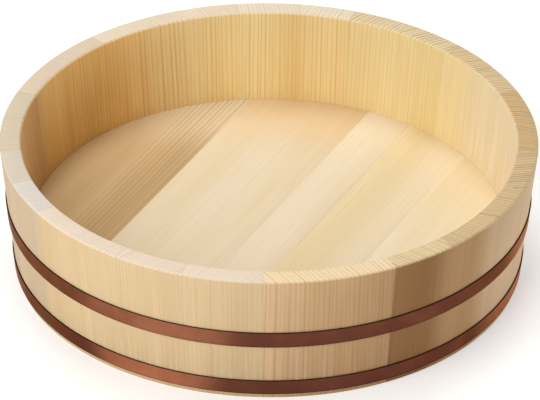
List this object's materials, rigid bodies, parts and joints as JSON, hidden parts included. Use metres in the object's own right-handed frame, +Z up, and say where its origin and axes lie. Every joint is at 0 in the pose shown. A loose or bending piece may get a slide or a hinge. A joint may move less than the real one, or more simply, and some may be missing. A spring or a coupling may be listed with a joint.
{
  "type": "wooden sushi rice tub",
  "caption": "Low flared round wooden tub with a coopered stave wall, flat copper hoops and a boarded bottom, for cooling and dressing cooked rice.",
  "frame": {"origin": "middle of the foot ring, on the surface that the tub stands on", "axes": "+Z up along the tub's axis; the bottom boards run 63.7 degrees counter-clockwise from +X"},
  "size_m": [0.3298, 0.3298, 0.087],
  "materials": {
    "pale_wood": "planed and scraped, unvarnished pale softwood",
    "golden_wood": "planed and scraped, unvarnished golden softwood with straight grain",
    "tan_wood": "planed and scraped, unvarnished tan softwood with straight grain",
    "bamboo": "split bamboo, shaved square",
    "copper": "flat copper strip, darkened satin"
  },
  "bodies": {
    "root": {"stave_01": "tan_wood", "stave_02": "tan_wood", "stave_03": "tan_wood", "stave_04": "tan_wood", "stave_05": "tan_wood", "stave_06": "pale_wood", "stave_07": "pale_wood", "stave_08": "pale_wood", "stave_09": "pale_wood", "stave_10": "pale_wood", "stave_11": "golden_wood", "stave_12": "golden_wood", "stave_13": "golden_wood", "stave_14": "golden_wood", "stave_15": "golden_wood", "stave_16": "golden_wood", "stave_17": "golden_wood", "stave_18": "golden_wood", "stave_19": "tan_wood", "stave_20": "pale_wood", "stave_21": "pale_wood", "stave_22": "pale_wood", "stave_23": "pale_wood", "stave_24": "tan_wood", "stave_25": "tan_wood", "upper_hoop": "copper", "lower_hoop": "copper", "bottom_board_1": "tan_wood", "bottom_board_2": "pale_wood", "bottom_board_3": "pale_wood", "bottom_board_4": "golden_wood", "bottom_board_5": "pale_wood", "stave_pins": "bamboo", "board_pins": "bamboo"}
  },
  "joints": []
}
